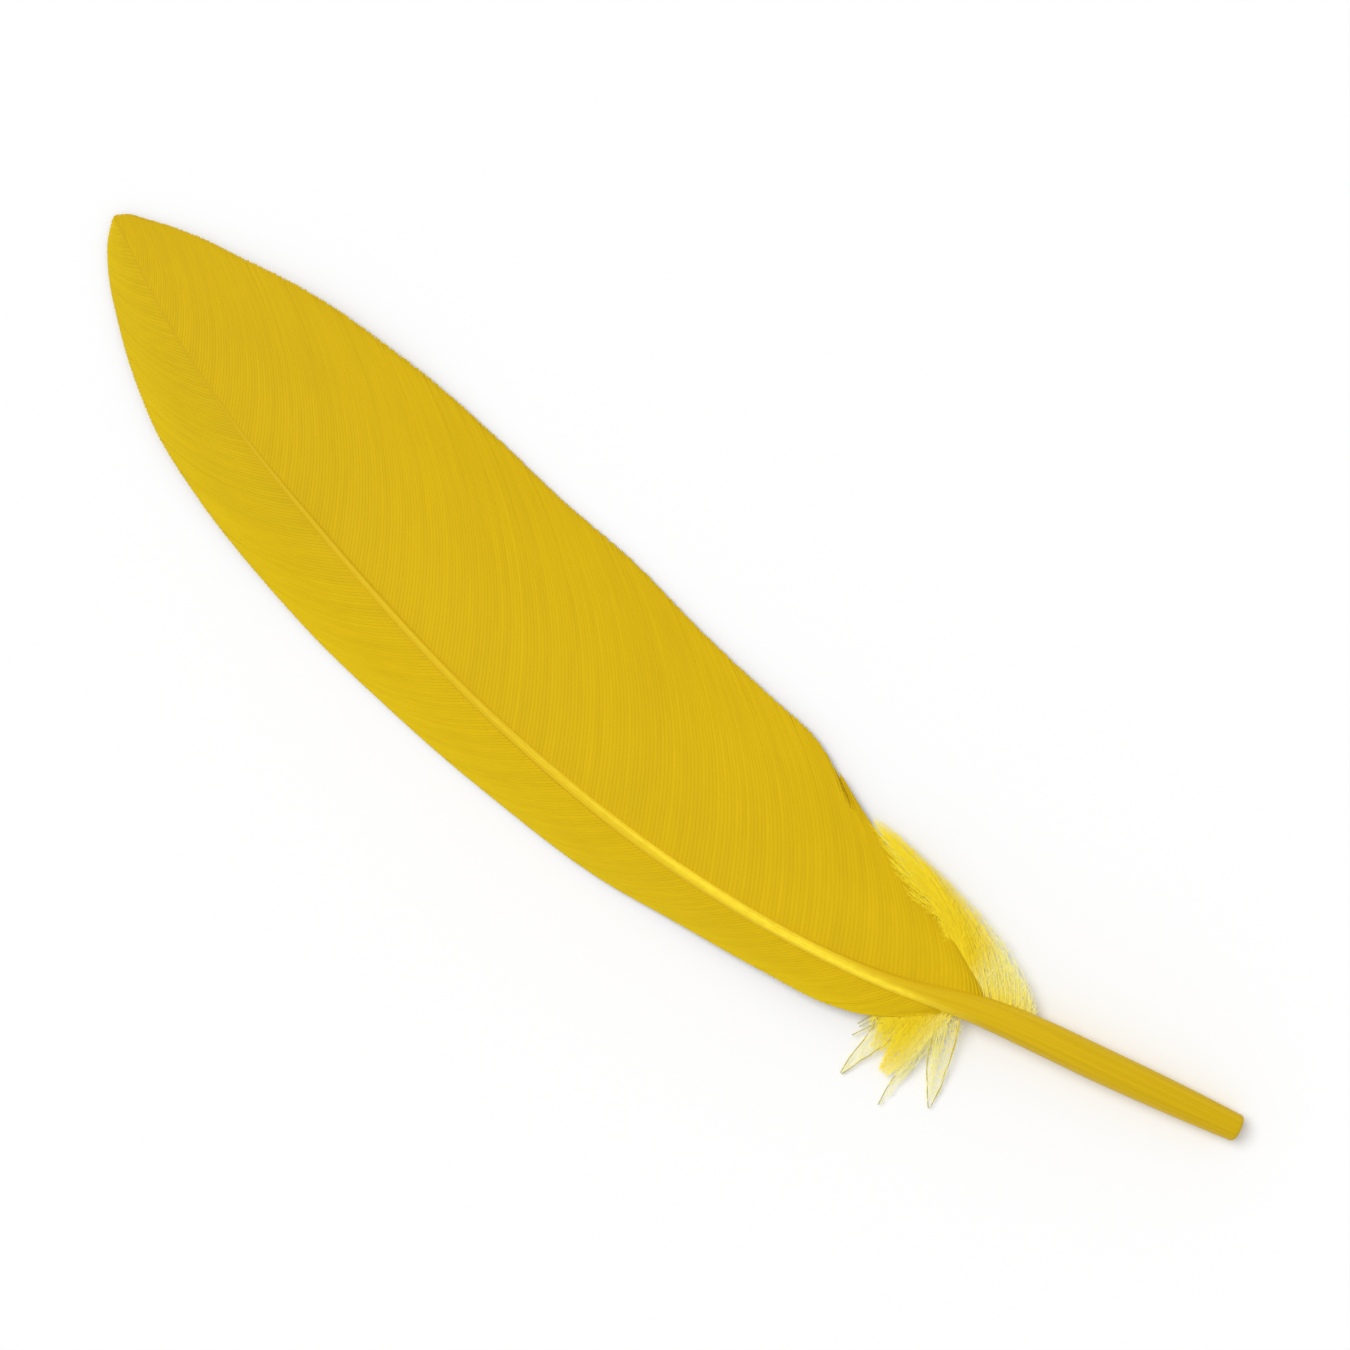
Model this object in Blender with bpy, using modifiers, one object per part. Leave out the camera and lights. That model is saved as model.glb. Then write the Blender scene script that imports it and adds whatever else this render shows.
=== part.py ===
"""A goose quill feather, lying on its hollow side as it comes to rest on a table.

The quill points to -X and the tip to +X. The narrow leading vane is on the +Y side of the shaft and
the wide trailing vane on the -Y side. Distances in the tables below are in millimetres. The first
number of each pair is the distance along X from the cut end of the quill.
"""

import math
import random

import bmesh
import bpy
import numpy as np
from mathutils import Vector

MM = 0.001
SEED = 11

# The shaft: where its middle runs, seen from above and from the side, and how thick it is.
SHAFT_SIDEWAYS = (
    (0, -0.9), (12, 2.2), (24, 5.4), (34, 9.1), (52, 12.8),
    (73, 13.2), (98, 9.9), (110, 7.4), (121, 3.9), (130, 0),
)
SHAFT_HEIGHT = ((0, 1.4), (12, 1.85), (24, 2.3), (45, 3.0), (68, 3.3), (92, 2.8), (112, 1.7), (130, 0.45))
SHAFT_WIDTH = (
    (0, 2.5), (5, 2.9), (14, 3.2), (22, 3.0), (30, 2.2), (52, 1.5), (73, 1.1), (92, 0.8), (130, 0.4),
)
SHAFT_DEPTH = (
    (0, 2.5), (5, 2.9), (14, 3.2), (22, 3.1), (30, 2.7), (52, 2.1), (73, 1.7), (92, 1.3), (130, 0.5),
)
LENGTH = 130.0
SHAFT_END = 129.2
SHAFT_SIDES = 12
SHAFT_STEP = 3.8
CUT_ROUNDING = 0.35
ROUND_UNTIL = 20.0
SQUARE_FROM = 45.0
ROUND_POWER = 2.0
SQUARE_POWER = 2.8

# The vanes: how wide each is beside the shaft, how far towards the tip a barb ends beyond its root,
# and how high the edge lies.
VANE_START = 25.6
VANE_END = 129.0
LEADING = {
    "width": (
        (26, 0.7), (28, 1.7), (32, 3.7), (35, 4.15), (42, 4.1), (52, 4.35), (58, 4.9), (71, 5.5), (83, 6.1),
        (92, 6.6), (108, 6.75), (115, 6.4), (118, 6.0), (121, 5.1), (123.7, 4.0), (126, 2.75), (127.7, 1.8),
        (129, 0.75), (129.8, 0.15),
    ),
    "reach": (
        (26, 3), (32, 5.5), (45, 7), (60, 9), (80, 12), (100, 13.5), (112, 10.5), (121, 5.5), (129, 0.7),
    ),
    "edge": ((26, 2.3), (32, 2.0), (44, 1.2), (58, 0.6), (71, 0.4), (90, 0.4), (108, 0.6), (130, 0.45)),
    "curl": 1.35,
    "rows": 4,
    "side": 1,
}
TRAILING = {
    "width": (
        (24.5, 1.0), (26, 2.1), (32, 6.6), (43, 12.6), (52, 16.7), (58, 17.5), (66, 18.2), (74, 18.8),
        (83, 18.2), (91, 17.6), (102, 15.8), (111, 13.1), (115, 11.2), (119, 8.85), (122.7, 6.2),
        (126, 3.7), (127.7, 2.45), (129, 1.15), (129.8, 0.15),
    ),
    "reach": (
        (24.5, 3), (26, 4), (30, 9.5), (40, 16), (55, 20), (75, 22), (95, 18), (110, 12.5), (120, 7.5),
        (129, 0.7),
    ),
    "edge": ((26, 2.3), (32, 1.9), (43, 1.2), (58, 0.8), (73, 0.5), (90, 0.5), (105, 0.9), (130, 0.45)),
    "curl": 1.8,
    "rows": 7,
    "side": -1,
}
VANE_THICKNESS = 0.4
VANE_LEVEL = 0.35
BARB_BOW = 0.09

# Each vane is parted into locks of barbs that cling together, with a faint ridge along each lock and
# a shallow dip in the edge between two. One of the dips in the trailing edge is a short split.
LOCKS = 24
COLUMNS_PER_LOCK = 4
LOCK_RIDGE = 0.07
LOCK_DIP = 0.28
LEAST_DIP = 0.3
SPLIT_AT = 47.4
SPLIT_DEPTH = 2.4

# The down at the base: the root of each lock along the shaft, where its tip lies in X, Y and Z, and
# how wide it is.
LEADING_DOWN = (
    (26.8, (22.6, 15.2, 0.6), 2.0),
    (27.6, (24.6, 15.4, 0.9), 1.4),
    (28.6, (26.0, 17.8, 0.45), 2.7),
    (29.8, (28.4, 15.8, 0.8), 1.6),
    (31.0, (30.6, 17.8, 0.45), 1.9),
)
TRAILING_DOWN = (
    (20.6, (21.9, 2.2, 1.0), 1.1),
    (21.4, (24.4, 1.0, 0.9), 1.2),
    (22.2, (27.2, 0.2, 0.85), 1.3),
    (23.0, (30.2, -0.4, 0.8), 1.4),
    (23.8, (33.4, -0.8, 0.8), 1.4),
    (24.6, (36.6, -1.1, 0.9), 1.4),
    (25.3, (39.8, -1.4, 1.0), 1.4),
    (25.9, (42.8, -1.75, 1.1), 1.4),
)
DOWN_DEPTH = 0.7
DOWN_AT_ROOT = 0.55
DOWN_SWELL = 1.8
DOWN_TAPER = 0.8
DOWN_TIP = 0.22
DOWN_RINGS = 7
DOWN_SIDES = 8
LEADING_DOWN_BOW = 0.16
TRAILING_DOWN_BOW = 0.42

GOLD = (0.686, 0.456, 0.011, 1.0)
GOLD_ROUGHNESS = 0.55
SMOOTH_BELOW = math.radians(35)


def clear_scene():
    for obj in list(bpy.data.objects):
        bpy.data.objects.remove(obj, do_unlink=True)


def along(stations, x):
    """The height at x of a smooth curve through the stations, each a pair of x and height."""
    xs, heights = np.array(stations, float).T
    slopes = np.gradient(heights, xs)
    x = min(max(x, xs[0]), xs[-1])
    i = min(max(int(np.searchsorted(xs, x)) - 1, 0), len(xs) - 2)
    step = xs[i + 1] - xs[i]
    t = (x - xs[i]) / step
    rise = heights[i + 1] - heights[i]
    bend = slopes[i] * step - rise
    back = rise - slopes[i + 1] * step
    return float(heights[i] + rise * t + t * (1 - t) * (bend * (1 - t) + back * t))


def shaft_point(x):
    return Vector((x, along(SHAFT_SIDEWAYS, x), along(SHAFT_HEIGHT, x)))


def shaft_direction(x, step=0.5):
    return (shaft_point(min(x + step, LENGTH)) - shaft_point(max(x - step, 0))).normalized()


def ring(centre, direction, width, depth, sides, power):
    """Points around a section across the direction. A power of 2 is an ellipse, and more is squarer."""
    across = Vector((0, 0, 1)).cross(direction).normalized()
    upward = direction.cross(across)
    points = []
    for i in range(sides):
        angle = 2 * math.pi * (i + 0.5) / sides
        c = math.cos(angle)
        s = math.sin(angle)
        a = math.copysign(abs(c) ** (2 / power), c) * width / 2
        b = math.copysign(abs(s) ** (2 / power), s) * depth / 2
        points.append(centre + across * a + upward * b)
    return points


def mesh_object(name, bm, collection):
    """The points of bm are in millimetres until here."""
    bmesh.ops.scale(bm, vec=(MM, MM, MM), verts=bm.verts)
    bmesh.ops.recalc_face_normals(bm, faces=bm.faces)
    mesh = bpy.data.meshes.new(name)
    bm.to_mesh(mesh)
    bm.free()
    mesh.shade_smooth()
    mesh.set_sharp_from_angle(angle=SMOOTH_BELOW)
    obj = bpy.data.objects.new(name, mesh)
    collection.objects.link(obj)
    return obj


def loft(name, rings, collection):
    """A closed solid through the rings, with a flat cap at each end."""
    bm = bmesh.new()
    rows = [[bm.verts.new(point) for point in points] for points in rings]
    sides = len(rows[0])
    for near, far in zip(rows, rows[1:]):
        for i in range(sides):
            j = (i + 1) % sides
            bm.faces.new((near[i], near[j], far[j], far[i]))
    bm.faces.new(reversed(rows[0]))
    bm.faces.new(rows[-1])
    return mesh_object(name, bm, collection)


def build_shaft(collection):
    """Round and bare at the quill, then tapering and squarer as the rachis between the vanes."""
    stations = [0.0, CUT_ROUNDING, 2.0]
    steps = int((SHAFT_END - stations[-1]) / SHAFT_STEP)
    stations += list(np.linspace(stations[-1], SHAFT_END, steps + 1)[1:])
    rings = []
    for x in stations:
        square = min(max((x - ROUND_UNTIL) / (SQUARE_FROM - ROUND_UNTIL), 0), 1)
        power = ROUND_POWER + (SQUARE_POWER - ROUND_POWER) * square
        trim = 2 * CUT_ROUNDING if x == 0 else 0
        width = along(SHAFT_WIDTH, x) - trim
        depth = along(SHAFT_DEPTH, x) - trim
        rings.append(ring(shaft_point(x), shaft_direction(x), width, depth, SHAFT_SIDES, power))
    return loft("shaft", rings, collection)


def vane_root(x):
    """Where a barb leaves the shaft: inside it, a little above its middle."""
    root = shaft_point(x)
    root.z += VANE_LEVEL * along(SHAFT_DEPTH, x) / 2
    return root


def vane_height(vane, x, y):
    """The vane's top at x and y: it leaves the shaft nearly level and curls down to its edge."""
    root = vane_root(x)
    width = along(vane["width"], x)
    share = min(abs(y - root.y) / width, 1.0)
    return root.z + (along(vane["edge"], x) - root.z) * share ** vane["curl"]


def barb_point(vane, root_x, share, trim, ridge):
    """A point on a barb, at this share of its length. Trim, in millimetres, shortens the barb."""
    root = vane_root(root_x)
    tip_x = root_x + along(vane["reach"], root_x)
    tip_y = shaft_point(tip_x).y + vane["side"] * along(vane["width"], tip_x)
    chord = Vector((tip_x - root.x, tip_y - root.y))
    share *= 1 - trim / chord.length
    outward = Vector((-chord.y, chord.x)) * vane["side"]
    bow = outward * BARB_BOW * 4 * share * (1 - share)
    x = root.x + chord.x * share + bow.x
    y = root.y + chord.y * share + bow.y
    return Vector((x, y, vane_height(vane, x, y) + ridge))


def build_vanes(collection):
    """Both vanes are one thin sheet, whose middle row runs inside the shaft."""
    rng = random.Random(SEED)
    dips = {side: [rng.uniform(LEAST_DIP, 1.0) for _ in range(LOCKS + 1)] for side in (1, -1)}
    rows = LEADING["rows"] + TRAILING["rows"]
    bm = bmesh.new()
    bmesh.ops.create_grid(bm, x_segments=LOCKS * COLUMNS_PER_LOCK, y_segments=rows, size=0.5)
    span = VANE_END - VANE_START
    lock_length = span / LOCKS
    for vert in bm.verts:
        root_x = VANE_START + (vert.co.x + 0.5) * span
        row = (vert.co.y + 0.5) * rows
        vane = TRAILING if row < TRAILING["rows"] else LEADING
        share = abs(row - TRAILING["rows"]) / vane["rows"]
        # The wave is 1 on the ridge of a lock and -1 on the line between two locks.
        place = (root_x - VANE_START) / lock_length
        nearest_gap = int(round(place))
        wave = -math.cos(2 * math.pi * place)
        trim = LOCK_DIP * (1 - wave) / 2 * dips[vane["side"]][nearest_gap]
        in_gap = abs(place - nearest_gap) < 0.5 / COLUMNS_PER_LOCK
        tip_x = root_x + along(vane["reach"], root_x)
        if vane is TRAILING and in_gap and abs(tip_x - SPLIT_AT) < lock_length / 2:
            trim = SPLIT_DEPTH
        vert.co = barb_point(vane, root_x, share, trim * share, LOCK_RIDGE * wave * share)
    sheet = mesh_object("vanes", bm, collection)
    solidify = sheet.modifiers.new("thickness", "SOLIDIFY")
    solidify.thickness = VANE_THICKNESS * MM
    solidify.offset = -1
    return sheet


def build_down_lock(name, root_x, tip, breadth, bow, collection):
    """A flat pointed lock of down that leaves the shaft, bows and runs out to its tip."""
    root = shaft_point(root_x)
    tip = Vector(tip)
    chord = tip - root
    aside = Vector((0, 0, 1)).cross(chord) * bow
    path = [root + chord * t + aside * t * (1 - t) for t in np.linspace(0, 1, DOWN_RINGS)]
    rings = []
    for i, point in enumerate(path):
        share = i / (DOWN_RINGS - 1)
        direction = (path[min(i + 1, DOWN_RINGS - 1)] - path[max(i - 1, 0)]).normalized()
        swell = (DOWN_AT_ROOT + DOWN_SWELL * share) * (1 - share) ** DOWN_TAPER
        width = max(breadth * swell, DOWN_TIP)
        depth = max(DOWN_DEPTH * swell, DOWN_TIP)
        rings.append(ring(point, direction, width, depth, DOWN_SIDES, ROUND_POWER))
    return loft(name, rings, collection)


def gold_material():
    material = bpy.data.materials.new("dyed_gold_feather")
    material.use_nodes = True
    shader = material.node_tree.nodes["Principled BSDF"]
    shader.inputs["Base Color"].default_value = GOLD
    shader.inputs["Roughness"].default_value = GOLD_ROUGHNESS
    shader.inputs["Metallic"].default_value = 0.0
    return material


def main():
    clear_scene()
    scene = bpy.context.scene
    parts = bpy.data.collections.new("goose_quill_feather")
    joined = bpy.data.collections.new("joined_shapes")
    scene.collection.children.link(parts)
    scene.collection.children.link(joined)

    feather = build_shaft(parts)
    feather.name = "feather"
    feather.data.materials.append(gold_material())
    shapes = [build_vanes(joined)]
    tufts = (("leading", LEADING_DOWN, LEADING_DOWN_BOW), ("trailing", TRAILING_DOWN, -TRAILING_DOWN_BOW))
    for vane_name, locks, bow in tufts:
        for i, (root_x, tip, breadth) in enumerate(locks):
            name = f"down_{vane_name}_{i + 1}"
            shapes.append(build_down_lock(name, root_x, tip, breadth, bow, joined))
    for shape in shapes:
        shape.hide_render = True
        shape.display_type = "WIRE"
    # So many thin shapes cross at the base that the exact solver leaves the joined surface open.
    union = feather.modifiers.new("grown_as_one", "BOOLEAN")
    union.operation = "UNION"
    union.operand_type = "COLLECTION"
    union.collection = joined
    union.solver = "MANIFOLD"

    # The origin goes to the middle of the feather's outline, on the surface that it lies on.
    origin = bpy.data.objects.new("feather_origin", None)
    parts.objects.link(origin)
    for obj in (feather, *shapes):
        obj.parent = origin
    bpy.context.view_layer.update()
    evaluated = feather.evaluated_get(bpy.context.evaluated_depsgraph_get())
    corners = np.array([vertex.co for vertex in evaluated.data.vertices])
    low = corners.min(axis=0)
    high = corners.max(axis=0)
    origin.location = (-(low[0] + high[0]) / 2, -(low[1] + high[1]) / 2, -low[2])


main()
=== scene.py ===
"""The looks of a goose quill feather dyed golden yellow, seen from straight above on a pale floor.

Every barb of the two vanes is a closed blade that runs from the shaft to the outline of the vane. The
shaft is one tapered body, and the down at the base is made of fine strands with still finer side hairs.
Distances are in millimetres until a mesh is made. They run from the cut end of the quill.
"""

import math

import bpy
import numpy as np
from mathutils import Matrix, Vector


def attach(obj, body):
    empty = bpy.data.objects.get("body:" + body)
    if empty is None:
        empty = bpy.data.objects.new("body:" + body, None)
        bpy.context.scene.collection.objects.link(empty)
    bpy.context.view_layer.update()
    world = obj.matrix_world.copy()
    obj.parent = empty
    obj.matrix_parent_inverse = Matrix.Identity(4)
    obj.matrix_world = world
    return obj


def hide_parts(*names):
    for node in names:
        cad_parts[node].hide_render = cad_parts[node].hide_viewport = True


MM = 0.001
NODE = "feather"
BODY = "root"
# The middle of the outline and the lowest point, where the frame has its origin.
MIDDLE = np.array((64.679, 6.041, 0.006))
UP = np.array((0.0, 0.0, 1.0))
LENGTH = 130.0
# By the slot of a piece: how far at least its points stay above the frame's lowest point, so that none lies
# in the floor, and the angle in degrees above which an edge stays sharp.
CLEARANCE = {"quill": 0.01, "vane": 0.02, "down": 0.03}
SHARP_ABOVE = {"quill": 50, "vane": 70, "down": 80}

SHAFT_SIDEWAYS = (
    (0, -0.9), (12, 2.2), (24, 5.4), (34, 9.2), (52, 12.8),
    (73, 13.2), (98, 9.9), (110, 7.4), (121, 3.9), (130, 0),
)
SHAFT_HEIGHT = ((0, 1.4), (12, 1.85), (24, 2.3), (45, 3.0), (68, 3.3), (92, 2.8), (112, 1.7), (130, 0.45))
SHAFT_WIDTH = (
    (0, 2.5), (5, 2.9), (14, 3.2), (21, 3.05), (26, 2.5), (30, 1.9),
    (36, 1.45), (52, 1.25), (73, 0.98), (92, 0.72), (110, 0.42), (130, 0.16),
)
SHAFT_DEPTH = (
    (0, 2.5), (5, 2.9), (14, 3.2), (22, 3.1), (30, 2.7), (52, 2.1), (73, 1.7), (85, 1.35), (97, 0.85),
    (108, 0.45), (116, 0.3), (130, 0.2),
)
SHAFT_END = 129.8
SHAFT_RINGS = 220
SHAFT_SIDES = 32
# The rings at the cut end. The first three make its shallow dimple, and the rest round its edge. Evenly
# spaced rings follow from EVEN_FROM on.
CUT_RINGS = (0.45, 0.12, 0.0, 0.03, 0.1, 0.2, 0.35)
DIMPLE_RADII = (0.25, 0.55, 0.8)
EVEN_FROM = 0.7
CUT_ROUNDING = 0.35
# The shaft is round at first, and squarest from SQUARE_BY on. There its underside has a groove: how deep it
# is, as a share of the shaft's depth, and how wide, in radians.
SQUARE_FROM = 20.0
SQUARE_BY = 45.0
SQUARENESS = 0.8
GROOVE = 0.3
GROOVE_SPREAD = 0.42
# Fine ridges along the shaft: how many go round it, how far they are turned and how high they are.
RIDGES = ((7, 1.3, 0.006), (11, 0.0, 0.005))
# The crest of the rachis carries a painted highlight, lighter on the shaft's upper side: how strong it is,
# how far to the narrow vane's side its middle stands, how wide it is, and between which heights on the side
# of the shaft it fades in, as shares of its depth.
CREST_HIGHLIGHT = (
    (0, 0), (24, 0), (28.5, 0.6), (32, 0.98), (36, 0.95), (40.5, 0.95), (45.5, 0.86), (51, 0.92), (58, 0.82),
    (67, 0.57), (78, 0.29), (89, 0.23), (99, 0.13), (108, 0.06), (113, 0), (130, 0),
)
HIGHLIGHT_ASIDE = (
    (0, 0.9), (28, 0.9), (31.5, 0.58), (36, 0.24), (40.5, 0.06), (45.5, -0.08), (51, -0.22), (58, -0.34),
    (67, -0.3), (78, -0.16), (89, 0), (130, 0),
)
HIGHLIGHT_WIDTH = (
    (0, 0.45), (30, 0.45), (36, 0.5), (52, 0.52), (62, 0.52), (78, 0.42), (92, 0.35), (110, 0.28), (130, 0.2),
)
HIGHLIGHT_FADES = (-0.2, 0.2)

VANE_END = 129.4
# The vanes leave the shaft this share of half a depth above its middle. The depth is the shaft's own in the
# lower half of the feather, and more than that towards the tip.
VANE_LEVEL = ((0, 0.35), (28, 0.35), (38, 0.55), (75, 0.55), (92, 0.4), (104, 0.33), (130, 0.33))
VANE_DEPTH = (
    (0, 2.5), (5, 2.9), (14, 3.2), (22, 3.1), (30, 2.7), (52, 2.1), (73, 1.7), (92, 1.3), (130, 0.5),
)
# How far a barb bows out from the straight line to its tip, as a share of its length.
BARB_BOW = 0.09
# The tables of a vane give, along the shaft, how wide it is, how far ahead of its root a barb ends, and how
# high its edge is. The curl is the power by which it bends down to that edge. Each number in splits is how
# far along the feather the tips of the barbs are where the edge is split.
LEADING = {
    "name": "leading_vane",
    "side": 1,
    "start": 26.0,
    "width": (
        (26, 0.7), (28, 1.7), (32, 3.7), (35, 4.15), (42, 4.1), (52, 4.35), (58, 4.9), (71, 5.5), (83, 6.2),
        (92, 6.85), (108, 6.9), (115, 6.45), (118, 5.85), (121, 5.1), (124, 4.15), (126, 3.45), (127.7, 2.55),
        (129, 1.45), (129.8, 0.2),
    ),
    "reach": (
        (26, 3), (32, 5.5), (45, 7), (60, 9), (80, 12), (100, 13.5), (112, 10.5), (121, 5.5), (129.4, 0.35),
    ),
    "edge": ((26, 2.3), (32, 2.0), (44, 1.2), (58, 0.6), (71, 0.4), (90, 0.4), (108, 0.6), (130, 0.45)),
    "curl": 1.35,
    "splits": (),
    "down_rests": None,
    "seed": 5,
}
TRAILING = {
    "name": "trailing_vane",
    "side": -1,
    "start": 24.6,
    "width": (
        (24.5, 1.0), (26, 2.1), (32, 6.6), (43, 12.6), (52, 16.7), (58, 17.5), (66, 18.2), (74, 18.8),
        (83, 18.2), (91, 17.6), (102, 15.8), (111, 13.1), (115, 11.2), (119, 8.9), (122.7, 6.6),
        (126, 4.0), (127.7, 2.5), (129, 1.3), (129.8, 0.15),
    ),
    "reach": (
        (24.5, 3), (26, 4), (30, 9.5), (40, 16), (55, 20), (75, 22), (95, 18), (110, 12.5), (120, 7.5),
        (129.4, 0.35),
    ),
    "edge": ((26, 2.3), (32, 1.9), (43, 1.2), (58, 0.8), (73, 0.5), (90, 0.5), (105, 0.9), (130, 0.45)),
    "curl": 1.8,
    "splits": (49.4,),
    "down_rests": (29.5, 32.0),
    "seed": 9,
}

# One barb's section. The first number is the share of the way to the next barb, with the tip of the
# feather on the positive side, and the second is the height over the vane.
BARB_SECTION = np.array((
    (-0.74, -0.040), (-0.24, -0.006), (-0.12, 0.013), (0.12, 0.013), (0.26, 0.004), (0.74, 0.006),
    (0.74, -0.020), (0.15, -0.05), (0.07, -0.15), (-0.07, -0.15), (-0.15, -0.06), (-0.74, -0.070),
))
BARBS = 262
BARB_RINGS = 20
# The rings stand closer towards the tip of the barb by this power.
RING_POWER = 0.86
# At its very end a barb is narrower by this share, and it gets thinner all the way.
BARB_TAPER = 0.4
TAPER_FROM = 0.965
BARB_THINNING = 0.55
# The first barbs of a vane are narrower than the rest.
FIRST_BARBS = 7
FIRST_WIDTH = 0.7
# Barbs cling together in locks: of how many barbs, how far their tips are pulled together, as a share of the
# way to the middle of the lock, how far its two sides are tilted, and half the length it has at least.
LOCK_BARBS = (7, 16)
LOCK_PULL = (0.0, 0.012)
LOCK_TILT = 0.012
LOCK_LEAST = 0.2
# A split: how much shorter its middle barbs are and how far they sink, over how many barbs that fades, how
# far barbs on the side of the base are raised, how many barbs away those are, and between which shares of a
# barb's length the split begins.
SPLIT_DEPTH = 1.8
SPLIT_SINK = 0.35
SPLIT_FADES = 1.5
SPLIT_LIFT = 0.12
SPLIT_LIFTED = 3
SPLIT_BEGINS = (0.77, 0.86)
# The power of the share of its length by which a barb leaves its even path.
STRAY_POWER = 5
# How far along the feather a barb's tip wanders, how far before the vane's end that begins to fade, and by
# what share a barb may be shorter.
TIP_WANDER = 0.02
WANDER_FADES = 6
SHORTEST = 0.007

# The down: where the strands of each lock leave the shaft, where the lock ends, half its width in the
# middle, half the spread of its ends, how many strands it has, how rich its yellow is, and which of its
# outer strands are darker with painted shade, if any: 0 for the first and -1 for the last.
LEADING_PALE = (
    ((26.0, 27.4), (22.5, 15.35, 0.6), 1.1, 0.05, 12, 0.0, 0, -1),
    ((26.8, 27.4), (23.0, 15.2, 0.8), 0.25, 0.08, 4, 0.2),
    ((26.4, 27.2), (26.1, 18.0, 0.45), 0.55, 0.08, 10, 0.1, -1),
    ((28.9, 30.6), (30.55, 17.95, 0.45), 0.95, 0.06, 10, 0.0, 0, -1),
    ((29.4, 30.4), (32.1, 13.6, 0.7), 0.2, 0.15, 4, 0.0, 0, -1),
    ((28.6, 29.2), (31.9, 14.7, 0.6), 0.12, 0.08, 3, 0.0, -1),
)
LEADING_RICH = (
    ((26.8, 27.7), (26.9, 15.1, 1.2), 0.4, 0.35, 18, 0.8),
    ((27.1, 29.2), (27.75, 15.6, 1.1), 0.95, 0.45, 54, 1.0),
    ((28.4, 30.6), (29.3, 14.3, 1.35), 1.05, 0.75, 60, 1.0),
    ((29.8, 32.0), (30.9, 12.9, 1.7), 0.85, 0.65, 34, 1.0),
)
TRAILING_LOCKS = (
    ((20.3, 21.0), (21.8, 2.25, 1.0), 0.3, 0.25, 10, 0.2),
    ((20.8, 21.6), (23.8, 1.35, 0.95), 0.4, 0.3, 12, 0.1),
    ((21.3, 22.2), (25.8, 0.6, 0.9), 0.45, 0.35, 12, 0.1),
    ((21.8, 22.7), (28.2, 0.0, 0.85), 0.5, 0.4, 12, 0.2),
    ((22.3, 23.2), (30.6, -0.5, 0.8), 0.55, 0.4, 13, 0.4),
    ((22.8, 23.7), (33.0, -0.8, 0.8), 0.6, 0.4, 14, 0.6),
    ((23.3, 24.3), (35.2, -1.0, 0.85), 0.65, 0.4, 15, 0.8),
    ((23.9, 24.9), (37.4, -1.2, 0.9), 0.65, 0.35, 16, 0.9),
    ((24.5, 25.5), (39.4, -1.4, 1.0), 0.65, 0.3, 17, 1.0),
    ((25.0, 26.1), (41.2, -1.55, 1.05), 0.6, 0.25, 20, 1.0),
    ((25.6, 26.7), (42.75, -1.6, 1.1), 0.6, 0.2, 28, 1.0),
)
# These locks come out from under the trailing vane and lie over its edge.
EDGE_LOCKS = (
    ((25.9, 26.9), (42.7, -1.2, 1.35), 0.5, 0.3, 28, 1.0),
    ((26.4, 27.5), (41.5, -0.75, 1.45), 0.36, 0.3, 22, 1.0),
)
# How far on its way to the tip, in x and in y, each of a lock's two control points stands, and how much
# the second is lifted. CONTROL_RISE has how far up on that way they stand. The trailing locks leave the shaft
# steeply and then run beside the vane. The rich locks of the leading side lie over the pale ones.
CONTROL_RISE = (0.5, 0.8)
PALE_BEND = ((0.3, 0.36), (0.68, 0.68), -0.4)
RICH_BEND = ((0.33, 0.36), (0.68, 0.66), 0.2)
TRAILING_BEND = ((0.32, 0.72), (0.64, 0.92), 0.75)
EDGE_BEND = ((0.27, 0.9), (0.66, 0.97), 0.4)
# Down that crosses a vane hangs this far under it. Where the vane has down_rests, from the first of its
# numbers on it comes up, and from the second on it rests this high on the vane.
HANG_DEPTH = 0.22
REST_HEIGHT = 0.1
# How far from the shaft down begins to cross a vane, and where it fully does, as shares of the vane's width.
CROSSES = (1.2, 0.95)
# The tone of the richest yellow, and the tone from which on a strand turns darker with painted shade, up to
# 1.
RICH_TONE = 0.8
OUTLINE_SHADE_FROM = 0.9
# The yellow of every lock is pale at the very base and reaches its own richness from here to here.
PALE_UNTIL = 25.5
RICH_FROM = 28.5
STRAND_RINGS = 14
STRAND_SIDES = 5
STRAND_RADIUS = 0.04
# As shares of that radius: how thick a strand's tip is for its root, how thick a strand is made, and how
# much is added to the outline strands, which carry painted shade.
STRAND_TIP = 0.5
STRAND_SWELL = 0.8
OUTLINE_SWELL = 1.5
# How unevenly the strands of a lock are spread.
SPREAD_JITTER = 0.06
# How far from the shaft's middle the strands begin, as a share of its width, and how far above the middle.
ROOT_ASIDE = 0.3
ROOT_HEIGHTS = (-0.3, 0.2)
# By what share the shortest strand of a lock is shorter, and how far a strand is lifted or sunk.
STRAND_SHORTEST = 0.4
STRAND_LIFT = 0.2
# How far apart the control points of a lock stand, as a share of its half width, and by what share the
# second ones stand closer together where the ends of the strands meet.
LOCK_SWELL = 1.25
END_SWELL = 0.3
# How far a strand strays from its smooth path in waves and in kinks, how many radians of a wave it has and
# where the wave starts, and by what share its thickness varies.
STRAND_WAVES = 0.075
STRAND_KINKS = 0.03
WAVE_RADIANS = (5, 11)
WAVE_STARTS = (0, 6)
STRAND_KNOTS = 0.35
# The side hairs of a strand, how many it has at least, and at which shares of its length they stand.
HAIR_SPACING = 0.24
HAIR_LENGTH = 0.95
HAIR_RADIUS = 0.019
HAIR_RINGS = 3
HAIR_SIDES = 3
HAIR_FEWEST = 4
HAIR_PLACES = (0.06, 0.97)
# How far a hair leans and bends to the strand's tip, and how far it rises or sinks, for its way outwards.
HAIR_LEANS = (0.45, 1.1)
HAIR_BEND = 0.28
HAIR_RISE = 0.22
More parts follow.
